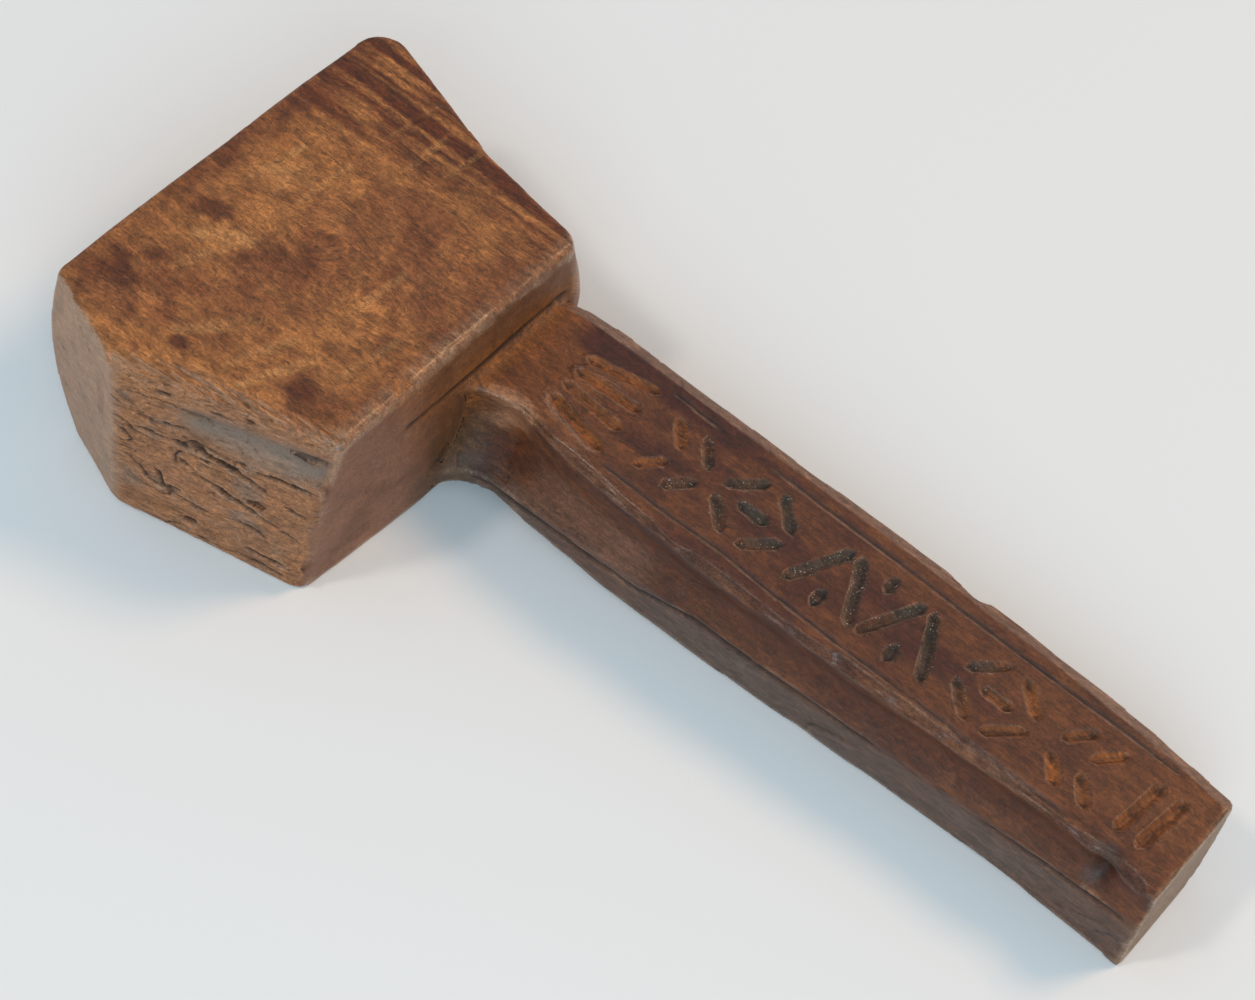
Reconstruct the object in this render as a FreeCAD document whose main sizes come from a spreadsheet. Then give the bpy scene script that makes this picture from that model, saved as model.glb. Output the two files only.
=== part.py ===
import FreeCAD, Part
import Sketcher
import math
import os

# A carved wooden sugar mallet, lying as it rests on a table. Millimetres.
# +X runs from the head along the handle to the butt, +Z is up and z = 0 is the table.
# The origin is on the head's flat underside, in the handle's centre plane, midway along the head.
# Near and far are the handle's side of the head and the side away from it.
# Left is -Y and right is +Y.

# Driving sizes of the head
HEAD_SIZES = {
    "head_height": 48.5,
    # Corners of the top face, from the origin
    "far_right_back": 36.7,
    "far_right_out": 38.0,
    "bend_reach": 6.1,
    "bend_out": 24.1,
    "shoulder": 36.0,
    "near_right_out": 19.4,
    "near_left_out": 57.2,
    "inner_bend_out": 30.0,
    "left_back": 12.0,
    "left_out": 72.8,
    "far_left_back": 37.0,
    "far_left_out": 63.6,
    # The belly and the underside, and how far their outlines stand outside the top face's
    "belly_height": 24.0,
    "belly_far": 0.8,
    "belly_far_left": 2.0,
    "belly_left": 0.6,
    "belly_near_left": 4.0,
    "belly_right": 2.8,
    "belly_inner": -1.2,
    "base_far": -6.0,
    "base_far_left": 2.6,
    "base_left": 0.6,
    "base_near_left": 6.2,
    "base_right": -0.6,
    "base_inner": -2.2,
    # Roundings
    "far_right_round": 7.0,
    "bend_round": 12.0,
    "near_right_round": 5.5,
    "near_left_round": 5.0,
    "left_round": 5.0,
    "far_left_round": 3.0,
    "rim_round": 1.6,
    "base_round": 1.4,
    # Splits along the grain of the left striking face, from the face's left corner
    "ledge_along": 26.0,
    "ledge_height": 30.0,
    "ledge_length": 15.4,
    "ledge_rise": 6.0,
    "upper_along": 40.5,
    "upper_height": 32.5,
    "upper_length": 9.0,
    "upper_rise": -1.0,
    "middle_along": 29.7,
    "middle_height": 20.5,
    "middle_length": 17.0,
    "middle_rise": 5.5,
    "lower_along": 38.0,
    "lower_height": 6.5,
    "lower_length": 9.0,
    "lower_rise": 0.4,
    "split_width": 2.6,
    "split_floor": 0.6,
    "split_depth": 1.7,
    "split_lift": 0.4,
    # The band above them, worn hollow
    "scoop_along": 32.0,
    "scoop_height": 39.5,
    "scoop_length": 30.0,
    "scoop_rise": 0.6,
    "scoop_width": 7.6,
    "scoop_floor": 3.0,
    "scoop_depth": 0.9,
    "scoop_lift": 0.4,
}

# Driving sizes of the handle
HANDLE_SIZES = {
    # Stations along the handle, from the origin; the shoulder is where it leaves the head
    "neck_reach": 48.0,
    "waist_reach": 96.0,
    "swell_reach": 160.0,
    "butt_reach": 215.0,
    # Heights of the top facet at the stations
    "neck_top": 32.6,
    "waist_top": 31.6,
    "swell_top": 30.0,
    "butt_top": 28.8,
    # Left arris of the top facet
    "neck_arris": 13.0,
    "waist_arris": 17.0,
    "swell_arris": 13.8,
    "butt_arris": 14.0,
    # Ridge between the hollow and the lower left facet
    "neck_ridge": 18.2,
    "waist_ridge": 18.2,
    "swell_ridge": 16.4,
    "butt_ridge": 14.9,
    "neck_ridge_height": 9.0,
    "waist_ridge_height": 14.0,
    "swell_ridge_height": 17.0,
    "butt_ridge_height": 18.0,
    # Lower left edge
    "neck_left": 17.2,
    "waist_left": 17.4,
    "swell_left": 14.6,
    "butt_left": 15.5,
    # Right side
    "neck_right": 18.4,
    "waist_right": 19.0,
    "swell_right": 19.4,
    "butt_right": 15.9,
    # Clearance of the underside over the table
    "neck_bottom": 4.0,
    "waist_bottom": 0.6,
    "swell_bottom": 0.2,
    "butt_bottom": 0.0,
    # Forms that run the whole length
    "arris_drop": 1.2,
    "strip_width": 3.4,
    "strip_drop": 1.3,
    "side_draw": 0.6,
    "heel_radius": 7.0,
    "hollow_radius": 16.0,
    # How much the cove at the shoulder adds
    "cove_top": 1.2,
    "cove_arris": 7.0,
    "cove_left": 10.0,
    "cove_right": -4.2,
    "cove_bottom": 1.0,
    # Notch in the right rim
    "notch_reach": 147.7,
    "notch_depth": 1.4,
    "notch_lead": 8.0,
    "notch_trail": 3.0,
    "notch_floor": 20.0,
    "butt_round": 0.8,
    # Knife-cut ornament in a band along the top facet
    "cut_width": 3.0,
    "cut_floor": 0.8,
    "cut_depth": 1.0,
    "cut_lift": 0.3,
    "cut_gap": 2.0,
    "band_middle": 1.0,
    "band_half": 10.0,
    "fan_reach": 50.0,
    "fan_length": 18.0,
    "fan_half": 6.0,
    "chevron_reach": 73.0,
    "chevron_length": 8.5,
    "chevron_step": 7.5,
    "lozenge_reach": 101.0,
    "lozenge_half": 11.0,
    "chip_half": 4.5,
    "zigzag_reach": 114.0,
    "zigzag_step": 9.5,
    "end_lozenge_reach": 165.0,
    "end_chevron_reach": 187.0,
    "bar_reach": 200.0,
    "bar_step": 5.5,
    "bar_half": 8.0,
    "bar_lean": 2.0,
}

# A groove's pointed ends, as how many half widths long they are
POINT = 1.6

doc = FreeCAD.newDocument("mallet")
sheet = doc.addObject("Spreadsheet::Sheet", "sizes")
for row, (alias, value) in enumerate((HEAD_SIZES | HANDLE_SIZES).items(), start=1):
    sheet.set(f"A{row}", alias)
    sheet.set(f"B{row}", str(value))
    sheet.setAlias(f"B{row}", alias)
doc.recompute()


class Size:
    """A length that keeps its value beside the expression that binds it to the sheet."""

    def __init__(self, text, value):
        self.text = text
        self.value = value

    def __add__(self, other):
        return Size(f"({self.text} + {other.text})", self.value + other.value)

    def __sub__(self, other):
        return Size(f"({self.text} - {other.text})", self.value - other.value)

    def __mul__(self, factor):
        return Size(f"({self.text} * {factor})", self.value * factor)

    def __neg__(self):
        return Size(f"(-{self.text})", -self.value)


def size(alias):
    """The sheet's value of that name."""
    return Size(f"sizes.{alias}", float(sheet.get(alias)))


ZERO = Size("0", 0.0)


def new_body(name):
    body = doc.addObject("PartDesign::Body", name)
    body.Label = name
    return body


def attached_sketch(body, name, role):
    """A sketch on the body's origin plane of that role."""
    sketch = body.newObject("Sketcher::SketchObject", name)
    support = next(f for f in body.Origin.OriginFeatures if f.Role == role)
    sketch.AttachmentSupport = [(support, "")]
    sketch.MapMode = "FlatFace"
    return sketch


def new_sketch(body, name, role, offset):
    """A sketch parallel to the body's origin plane of that role, offset along its normal."""
    sketch = attached_sketch(body, name, role)
    sketch.setExpression("AttachmentOffset.Base.z", offset.text)
    return sketch


def outline(sketch, corners, rounds, bends):
    """A closed outline, drawn counterclockwise. rounds maps a corner's number to its radius, and bends
    maps a side's number to the radius of its hollow."""
    points = [FreeCAD.Vector(x.value, y.value, 0) for x, y in corners]
    count = len(points)
    starts = list(points)
    stops = points[1:] + points[:1]
    middles = {}
    for i, radius in rounds.items():
        before = (points[i - 1] - points[i]).normalize()
        after = (points[(i + 1) % count] - points[i]).normalize()
        half_angle = before.getAngle(after) / 2
        cut = radius.value / math.tan(half_angle)
        stops[i - 1] = points[i] + before * cut
        starts[i] = points[i] + after * cut
        bisector = (before + after).normalize()
        middles[i] = points[i] + bisector * (radius.value / math.sin(half_angle) - radius.value)

    def add_arc(start, middle, stop):
        """Adds the arc as the sketcher keeps it, counterclockwise."""
        if (middle - start).cross(stop - middle).z > 0:
            return sketch.addGeometry(Part.Arc(start, middle, stop), False), 1, 2
        return sketch.addGeometry(Part.Arc(stop, middle, start), False), 2, 1

    sides = []
    for i in range(count):
        if i in bends:
            half = (stops[i] - starts[i]) * 0.5
            rise = bends[i].value - math.sqrt(bends[i].value ** 2 - half.Length**2)
            inwards = FreeCAD.Vector(-half.y, half.x, 0).normalize()
            sides.append(add_arc(starts[i], starts[i] + half + inwards * rise, stops[i]))
        else:
            sides.append((sketch.addGeometry(Part.LineSegment(starts[i], stops[i]), False), 1, 2))
    joins = []
    lengths = []
    for i, (x, y) in enumerate(corners):
        before, after = sides[i - 1], sides[i]
        if i in rounds:
            arc = add_arc(stops[i - 1], middles[i], starts[i])
            corner = (sketch.addGeometry(Part.Point(points[i]), True), 1)
            joins.append(Sketcher.Constraint("Tangent", before[0], before[2], arc[0], arc[1]))
            joins.append(Sketcher.Constraint("Tangent", arc[0], arc[2], after[0], after[1]))
            joins.append(Sketcher.Constraint("PointOnObject", *corner, before[0]))
            joins.append(Sketcher.Constraint("PointOnObject", *corner, after[0]))
            lengths.append((Sketcher.Constraint("Radius", arc[0], rounds[i].value), rounds[i]))
        else:
            corner = (after[0], after[1])
            joins.append(Sketcher.Constraint("Coincident", before[0], before[2], *corner))
        lengths.append((Sketcher.Constraint("DistanceX", -1, 1, *corner, x.value), x))
        lengths.append((Sketcher.Constraint("DistanceY", -1, 1, *corner, y.value), y))
    for i, radius in bends.items():
        lengths.append((Sketcher.Constraint("Radius", sides[i][0], radius.value), radius))
    first = sketch.ConstraintCount + len(joins)
    sketch.addConstraint(joins + [constraint for constraint, length in lengths])
    for number, (constraint, length) in enumerate(lengths, start=first):
        sketch.setExpression(f"Constraints[{number}]", length.text)


def loft(body, name, sketches):
    """A smooth loft through the sketches, in order."""
    feature = body.newObject("PartDesign::AdditiveLoft", name)
    feature.Profile = sketches[0]
    feature.Sections = sketches[1:]
    feature.Ruled = False
    doc.recompute()
    return feature


def round_edges(body, name, base, axis, place, radius):
    """Rounds the edges of base that lie in the plane at that place on axis 0, 1 or 2."""

    def in_plane(edge):
        box = edge.BoundBox
        low = (box.XMin, box.YMin, box.ZMin)[axis]
        high = (box.XMax, box.YMax, box.ZMax)[axis]
        return abs(low - place) < 0.01 and abs(high - place) < 0.01

    numbers = [i for i, edge in enumerate(base.Shape.Edges, start=1) if in_plane(edge)]
    feature = body.newObject("PartDesign::Fillet", name)
    feature.Base = (base, [f"Edge{i}" for i in numbers])
    feature.Radius = radius.value
    feature.setExpression("Radius", radius.text)
    doc.recompute()
    return feature


def plane_through(origin, ahead, above):
    """The placement of a plane through three points. Its X runs from origin to ahead, and above is on
    its +Y side."""
    x_axis = (ahead - origin).normalize()
    z_axis = x_axis.cross(above - origin).normalize()
    return FreeCAD.Placement(origin, FreeCAD.Rotation(x_axis, z_axis.cross(x_axis), z_axis, "ZXY"))


def groove_outline(sketch, start, stop, half):
    """A groove's six corners in plan, with a point at both ends."""
    run_x, run_y = (b.value - a.value for a, b in zip(start, stop))
    length = math.hypot(run_x, run_y)
    corners = []
    for end, sign in ((start, 1), (stop, -1)):
        for ahead, left in ((POINT, 1), (0, 0), (POINT, -1)):
            turned_x = sign * (ahead * run_x - left * run_y) / length
            turned_y = sign * (ahead * run_y + left * run_x) / length
            corners.append((end[0] + half * round(turned_x, 4), end[1] + half * round(turned_y, 4)))
    outline(sketch, corners, {}, {})


def cut_grooves(body, name, plane, family, grooves):
    """Cuts grooves with sloping walls into the face that lies on the plane. A groove is its two ends.
    The family's sizes are its width at the face, its floor's width, its depth and the sketch's lift."""
    width, floor, depth, lift = (size(f"{family}_{what}") for what in ("width", "floor", "depth", "lift"))
    slope = round((width.value - floor.value) / 2 / depth.value, 4)
    sketch = attached_sketch(body, f"{name}_outline", "XY_Plane")
    raised = FreeCAD.Placement(FreeCAD.Vector(0, 0, lift.value), FreeCAD.Rotation())
    sketch.AttachmentOffset = plane.multiply(raised)
    for start, stop in grooves:
        groove_outline(sketch, start, stop, width * 0.5 + lift * slope)
    pocket = body.newObject("PartDesign::Pocket", name)
    pocket.Profile = sketch
    pocket.Type = "Length"
    pocket.setExpression("Length", (depth + lift).text)
    pocket.TaperAngle = -math.degrees(math.atan(slope))
    doc.recompute()
    return pocket


def head_outline(level):
    """The head's outline at its top, belly or base, as names and corners."""

    def out(name):
        return ZERO if level == "top" else size(f"{level}_{name}")

    return {
        "far_left": (-(size("far_left_back") + out("far")), -(size("far_left_out") + out("far_left"))),
        "left": (-size("left_back"), -(size("left_out") + out("left"))),
        "near_left": (size("shoulder") + out("inner"), -(size("near_left_out") + out("near_left"))),
        "inner_bend": (size("shoulder"), -size("inner_bend_out")),
        "near_right": (size("shoulder"), size("near_right_out") + out("right")),
        "bend": (size("bend_reach"), size("bend_out") + out("right")),
        "far_right": (-(size("far_right_back") + out("far")), size("far_right_out") + out("right")),
    }


def striking_face_point(along, height):
    """The point of the left striking face that far along it from its left corner, at that height."""
    levels = {"base": 0.0, "belly": size("belly_height").value, "top": size("head_height").value}
    low, high = ("belly", "top") if height > levels["belly"] else ("base", "belly")
    rise = (height - levels[low]) / (levels[high] - levels[low])
    ends = []
    for name in ("left", "near_left"):
        below, above = (
            FreeCAD.Vector(*(length.value for length in head_outline(level)[name]), height)
            for level in (low, high)
        )
        ends.append(below + (above - below) * rise)
    return ends[0] + (ends[1] - ends[0]).normalize() * along


def wear_striking_face(body):
    """The splits that use has opened along the grain, and the band that it has worn hollow."""
    for name, family in (
        ("scoop", "scoop"),
        ("ledge", "split"),
        ("upper", "split"),
        ("middle", "split"),
        ("lower", "split"),
    ):
        along, height, length, rise = (
            size(f"{name}_{what}").value for what in ("along", "height", "length", "rise")
        )
        half = size(f"{name}_length") * 0.5
        plane = plane_through(
            striking_face_point(along, height),
            striking_face_point(along + length / 2, height + rise / 2),
            striking_face_point(along, height + size("split_width").value),
        )
        label = name if name == family else f"{name}_{family}"
        feature = cut_grooves(body, label, plane, family, [((-half, ZERO), (half, ZERO))])
    return feature


def make_head():
    """A flared five-sided block, crowned on its far and striking faces, with worn edges."""
    body = new_body("head")
    heights = {"top": size("head_height"), "belly": size("belly_height"), "base": ZERO}
    sketches = []
    for level, height in heights.items():
        corners = head_outline(level)
        sharp = {"inner_bend"}
        rounds = {i: size(f"{name}_round") for i, name in enumerate(corners) if name not in sharp}
        sketch = new_sketch(body, f"head_{level}", "XY_Plane", height)
        outline(sketch, list(corners.values()), rounds, {})
        sketches.append(sketch)
    feature = loft(body, "head_block", sketches)
    top = size("head_height").value
    feature = round_edges(body, "top_rim", feature, 2, top, size("rim_round"))
    feature = round_edges(body, "base_rim", feature, 2, 0.0, size("base_round"))
    feature = wear_striking_face(body)
    body.Tip = feature
    return body


def handle_outline(station, share):
    """The handle's six corners at a station, with that share of the cove added."""

    def at(name):
        return size(f"{station}_{name}")

    def cove(name):
        return size(f"cove_{name}") * share

    right = at("right") + cove("right")
    top = at("top") + cove("top")
    bottom = at("bottom") - cove("bottom")
    return [
        (-(at("ridge") + cove("left")), at("ridge_height")),
        (-(at("left") + cove("left")), bottom),
        (right - size("side_draw"), bottom),
        (right, top - size("strip_drop")),
        (right - size("strip_width"), top),
        (-(at("arris") + cove("arris")), top - size("arris_drop")),
    ]


def handle_section(body, name, reach, corners):
    sketch = new_sketch(body, name, "YZ_Plane", reach)
    outline(sketch, corners, {2: size("heel_radius")}, {5: size("hollow_radius")})
    return sketch


def make_handle():
    """A knife-cut grip, lofted through its stations, with a cove where it flares into the head."""
    body = new_body("handle")
    cove_length = size("neck_reach") - size("shoulder")
    sketches = []
    for degrees in (0, 30, 60, 90):
        turn = math.radians(degrees)
        reach = size("neck_reach") - cove_length * round(math.cos(turn), 4)
        corners = handle_outline("neck", round(1 - math.sin(turn), 4))
        sketches.append(handle_section(body, f"cove_{degrees}", reach, corners))
    loft(body, "cove", sketches)
    grip = []
    for station in ("butt", "swell", "waist"):
        corners = handle_outline(station, 0.0)
        grip.append(handle_section(body, station, size(f"{station}_reach"), corners))
    feature = loft(body, "grip", grip + sketches[-1:])
    feature = cut_notch(body)
    feature = round_edges(body, "butt_rim", feature, 0, size("butt_reach").value, size("butt_round"))
    feature = carve_ornament(body)
    body.Tip = feature
    return body


def cut_notch(body):
    """A nick in the right rim, long on the head's side and short on the butt's."""
    sketch = new_sketch(body, "notch_outline", "XY_Plane", size("notch_floor"))
    outside = size("swell_right") + size("notch_depth")
    start = size("notch_reach") - size("notch_lead") * 2
    stop = size("notch_reach") + size("notch_trail") * 2
    deepest = (size("notch_reach"), size("swell_right") - size("notch_depth"))
    outline(sketch, [deepest, (stop, outside), (start, outside)], {}, {})
    pocket = body.newObject("PartDesign::Pocket", "notch")
    pocket.Profile = sketch
    pocket.Type = "ThroughAll"
    pocket.Reversed = True
    doc.recompute()
    return pocket


def facet_point(station, out):
    """The point of the handle's top facet at the station, that far to the right of the centre plane."""
    left = -size(f"{station}_arris").value
    right = (size(f"{station}_right") - size("strip_width")).value
    drop = size("arris_drop").value * (right - out) / (right - left)
    return FreeCAD.Vector(size(f"{station}_reach").value, out, size(f"{station}_top").value - drop)


def facet_plane():
    """The top facet's plane, with its origin over the head in the middle of the ornament's band."""
    middle = size("band_middle").value
    neck = facet_point("neck", middle)
    butt = facet_point("butt", middle)
    run = butt - neck
    return plane_through(neck - run * (neck.x / run.x), butt, facet_point("neck", middle + 1))


def mirrored(start, stop):
    """A groove whose ends are drawn in by the gap, and its mirror image across the band's middle."""
    gap = size("cut_gap")
    run_x, run_y = (b.value - a.value for a, b in zip(start, stop))
    length = math.hypot(run_x, run_y)
    step = [gap * round(run / length, 4) for run in (run_x, run_y)]
    start = (start[0] + step[0], start[1] + step[1])
    stop = (stop[0] - step[0], stop[1] - step[1])
    return [(start, stop), ((start[0], -start[1]), (stop[0], -stop[1]))]


def chevrons(reach, length):
    """Two arrowheads whose points lie at that length from reach."""
    grooves = []
    for start in (reach, reach + size("chevron_step")):
        grooves += mirrored((start, size("band_half")), (start + length, ZERO))
    return grooves


def lozenge(middle):
    """A lozenge as wide as the band, with one chip in it."""
    top = (middle, size("band_half"))
    grooves = mirrored((middle - size("lozenge_half"), ZERO), top)
    grooves += mirrored(top, (middle + size("lozenge_half"), ZERO))
    chip = size("chip_half")
    return grooves + [((middle - chip, ZERO), (middle + chip, ZERO))]


def fan():
    """Four grooves that spread out from the neck."""
    grooves = []
    for share in (-1, -0.333, 0.333, 1):
        start = (size("fan_reach"), size("fan_half") * share)
        grooves.append((start, (size("fan_reach") + size("fan_length"), size("band_half") * share)))
    return grooves


def zigzag():
    """Four grooves that cross the band from side to side, with a chip in each angle between them."""
    grooves = []
    for i in range(4):
        out = size("band_half") * (-1) ** i
        start = (size("zigzag_reach") + size("zigzag_step") * i, -out)
        groove, mirror = mirrored(start, (start[0] + size("zigzag_step"), out))
        grooves.append(groove)
        if i > 0:
            grooves.append(((start[0], out * 0.35), (start[0], out * 0.95)))
    return grooves


def bars():
    """Two leaning grooves across the band."""
    grooves = []
    for i in range(2):
        reach = size("bar_reach") + size("bar_step") * i
        grooves.append(((reach, -size("bar_half")), (reach + size("bar_lean"), size("bar_half"))))
    return grooves


def carve_ornament(body):
    """The knife-cut band on the top facet, from the neck to the butt."""
    motifs = {
        "fan": fan(),
        "chevrons": chevrons(size("chevron_reach"), size("chevron_length")),
        "lozenge": lozenge(size("lozenge_reach")),
        "zigzag": zigzag(),
        "end_lozenge": lozenge(size("end_lozenge_reach")),
        "end_chevrons": chevrons(size("end_chevron_reach"), -size("chevron_length")),
        "bars": bars(),
    }
    for name, grooves in motifs.items():
        feature = cut_grooves(body, name, facet_plane(), "cut", grooves)
    return feature


bodies = [make_head(), make_handle()]
doc.recompute()

for item in doc.Objects:
    if {"Invalid", "Error"} & set(item.State):
        raise RuntimeError(f"{item.Name} failed: {item.State}")
os.makedirs("parts", exist_ok=True)
for body in bodies:
    if body.Shape.isNull() or not body.Shape.isValid():
        raise RuntimeError(f"{body.Label} has no valid shape")
    body.Shape.exportStep(f"parts/{body.Label}.step")
    print(body.Label, len(body.Shape.Solids), "solid", round(body.Shape.Volume), "mm3", body.Shape.BoundBox)
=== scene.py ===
import math

import bmesh
import bpy
import numpy as np
from mathutils import Matrix, Vector


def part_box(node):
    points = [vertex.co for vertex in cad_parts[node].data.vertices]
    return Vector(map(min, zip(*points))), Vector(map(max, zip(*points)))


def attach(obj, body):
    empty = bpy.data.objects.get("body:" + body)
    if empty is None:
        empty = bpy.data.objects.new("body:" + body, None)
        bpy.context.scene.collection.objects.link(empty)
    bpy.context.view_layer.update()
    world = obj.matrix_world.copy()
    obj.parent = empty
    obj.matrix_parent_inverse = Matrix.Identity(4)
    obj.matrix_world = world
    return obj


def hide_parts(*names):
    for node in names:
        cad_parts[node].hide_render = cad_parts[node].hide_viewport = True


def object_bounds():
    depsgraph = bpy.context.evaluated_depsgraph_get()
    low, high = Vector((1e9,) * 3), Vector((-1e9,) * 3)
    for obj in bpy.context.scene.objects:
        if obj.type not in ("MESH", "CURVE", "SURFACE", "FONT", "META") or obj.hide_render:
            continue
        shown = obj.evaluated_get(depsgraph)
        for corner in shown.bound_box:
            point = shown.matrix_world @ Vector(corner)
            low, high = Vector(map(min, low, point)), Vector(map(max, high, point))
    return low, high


# A knife-cut wooden sugar mallet. The solids give its form; here the wood gets its hewn facets, worn
# arrises, torn and split striking face, carved ornament, grain and colour.
# Sizes are in millimetres in the carving below, in the frame of the solids, and in metres in Blender.
# +X runs along the handle to its butt, +Z is up, and -Y is the left end of the head.

MM = 0.001
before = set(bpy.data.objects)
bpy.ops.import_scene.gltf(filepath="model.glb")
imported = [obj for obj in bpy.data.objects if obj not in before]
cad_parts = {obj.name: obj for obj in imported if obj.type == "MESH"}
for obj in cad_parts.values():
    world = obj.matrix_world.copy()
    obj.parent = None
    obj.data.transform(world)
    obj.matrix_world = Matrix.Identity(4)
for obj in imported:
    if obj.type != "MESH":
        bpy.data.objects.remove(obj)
cad_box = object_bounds()

# Main planes and edges, from the solids. The corners are the two ends of the left striking face's top edge.
# The face runs along STRIKE_RUN, and looks to STRIKE_OUT.
head_high = np.array(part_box("head")[1]) / MM
handle_high = np.array(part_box("handle")[1]) / MM
TOP = head_high[2]
SHOULDER = head_high[0]
BUTT = handle_high[0]
LEFT_CORNER = np.array([-12.0, -72.8])
NEAR_LEFT_CORNER = np.array([36.0, -57.2])
STRIKE_RUN = (NEAR_LEFT_CORNER - LEFT_CORNER) / np.linalg.norm(NEAR_LEFT_CORNER - LEFT_CORNER)
STRIKE_OUT = np.array([STRIKE_RUN[1], -STRIKE_RUN[0], 0.0])
UP = np.array([0.0, 0.0, 1.0])
ALONG_HANDLE = np.array([1.0, 0.0, 0.0])
# Where the skin is split between the pieces, and how far the handle's solid is pushed into the head's for it
SEAM = SHOULDER + 0.35
SEAT_OVERLAP = 4.0
SEAT_REACH = 0.05

# Mesh density: the whole skin, then the areas with fine carving divided once more. On the head's left end
# these start at an X, and on the handle's left side at a height.
SKIN_VOXEL = 0.8
FINE_HEAD_START = -14.0
FINE_HANDLE_START = 9.5


# Numbers from positions

def smooth(value, low, high):
    """0 below low, 1 above high, and a smooth step between."""
    share = np.clip((value - low) / (high - low), 0.0, 1.0)
    return share * share * (3.0 - 2.0 * share)


def lattice(cell, seed):
    """A repeatable number from 0 to 1 for each whole-number cell."""
    code = cell[..., 0] * 374761393 + cell[..., 1] * 668265263 + cell[..., 2] * 1440662683
    code = (code + seed * 974634777) & 0xFFFFFFFF
    code = ((code ^ (code >> 13)) * 1274126177) & 0xFFFFFFFF
    return (code ^ (code >> 16)) / 0xFFFFFFFF


def noise(points, size, seed=0):
    """Smooth noise from -1 to 1; size is its wavelength in mm, one number or one for each axis."""
    place = points / np.asarray(size, float)
    cell = np.floor(place).astype(np.int64)
    part = place - cell
    part = part * part * (3.0 - 2.0 * part)
    total = np.zeros(len(points))
    for corner in np.ndindex(2, 2, 2):
        weight = np.ones(len(points))
        for axis in range(3):
            weight *= part[:, axis] if corner[axis] else 1.0 - part[:, axis]
        total += weight * lattice(cell + np.array(corner), seed)
    return total * 2.0 - 1.0


def layered(points, size, seed=0, layers=3):
    """Noise with finer layers on it."""
    total = np.zeros(len(points))
    for layer in range(layers):
        total += noise(points, np.asarray(size, float) / 2.0**layer, seed + layer) * 0.5**layer
    return total


def facets(points, size, seed, tilt):
    """Shallow knife facets: each cell of a jittered grid is a plane with a tilt of its own."""
    place = points / np.asarray(size, float)
    cell = np.floor(place).astype(np.int64)
    nearest = np.full(len(points), 9.0)
    height = np.zeros(len(points))
    for step in np.ndindex(3, 3, 3):
        near = cell + np.array(step) - 1
        centre = near + np.stack([lattice(near, seed + k) for k in range(3)], axis=-1)
        away = place - centre
        distance = (away**2).sum(axis=1)
        lean = np.stack([lattice(near, seed + 5 + k) - 0.5 for k in range(3)], axis=-1)
        level = (lattice(near, seed + 9) - 0.5) * 0.6 + (lean * away).sum(axis=1) * 2.0
        closer = distance < nearest
        nearest = np.where(closer, distance, nearest)
        height = np.where(closer, level, height)
    return height * tilt


def segment_distance(points, start, stop):
    """Distance in plan from points to a segment, and how far along it from 0 to 1 they lie."""
    start = np.asarray(start, float)
    run = np.asarray(stop, float) - start
    along = np.clip(((points - start) @ run) / (run @ run), 0.0, 1.0)
    gap = points - start - along[:, None] * run
    return np.sqrt((gap**2).sum(axis=1)), along


# The skin: one closed mesh over both solids

def billet_mesh():
    """Both solids under one even skin, because the real mallet is cut from one billet."""
    sheet = bmesh.new()
    for name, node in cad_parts.items():
        piece = bmesh.new()
        piece.from_mesh(node.data)
        bmesh.ops.remove_doubles(piece, verts=piece.verts, dist=1e-6)
        if name == "handle":
            for vert in piece.verts:
                if vert.co.x < (SHOULDER + SEAT_REACH) * MM:
                    vert.co.x -= SEAT_OVERLAP * MM
        mesh = bpy.data.meshes.new("piece")
        piece.to_mesh(mesh)
        piece.free()
        sheet.from_mesh(mesh)
        bpy.data.meshes.remove(mesh)
    mesh = bpy.data.meshes.new("billet")
    sheet.to_mesh(mesh)
    sheet.free()
    billet = bpy.data.objects.new("billet", mesh)
    bpy.context.scene.collection.objects.link(billet)
    remesh = billet.modifiers.new("skin", "REMESH")
    remesh.mode = "VOXEL"
    remesh.voxel_size = SKIN_VOXEL * MM
    bpy.context.view_layer.update()
    graph = bpy.context.evaluated_depsgraph_get()
    skin = bpy.data.meshes.new_from_object(billet.evaluated_get(graph))
    bpy.data.objects.remove(billet)
    return skin


def divide_carved_areas(mesh):
    """Divides the faces of the head's top and left end, and of the handle's top and left side."""
    sheet = bmesh.new()
    sheet.from_mesh(mesh)
    chosen = []
    for face in sheet.faces:
        centre = face.calc_center_median() / MM
        normal = face.normal
        if centre.x < SEAM:
            wanted = normal.z > 0.5 or (normal.y < -0.6 and centre.x > FINE_HEAD_START)
        else:
            wanted = normal.z > 0.5 or (normal.y < -0.3 and centre.z > FINE_HANDLE_START)
        if wanted:
            chosen.append(face)
    edges = {edge for face in chosen for edge in face.edges}
    bmesh.ops.subdivide_edges(sheet, edges=list(edges), cuts=1, use_grid_fill=True)
    sheet.to_mesh(mesh)
    sheet.free()


def positions(mesh):
    flat = np.empty(len(mesh.vertices) * 3, np.float32)
    mesh.vertices.foreach_get("co", flat)
    return flat.reshape(-1, 3).astype(float) / MM


def normals(mesh):
    flat = np.empty(len(mesh.vertices) * 3, np.float32)
    mesh.vertex_normals.foreach_get("vector", flat)
    return flat.reshape(-1, 3).astype(float)


def set_positions(mesh, points):
    mesh.vertices.foreach_set("co", (points * MM).astype(np.float32).ravel())
    mesh.update()


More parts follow.
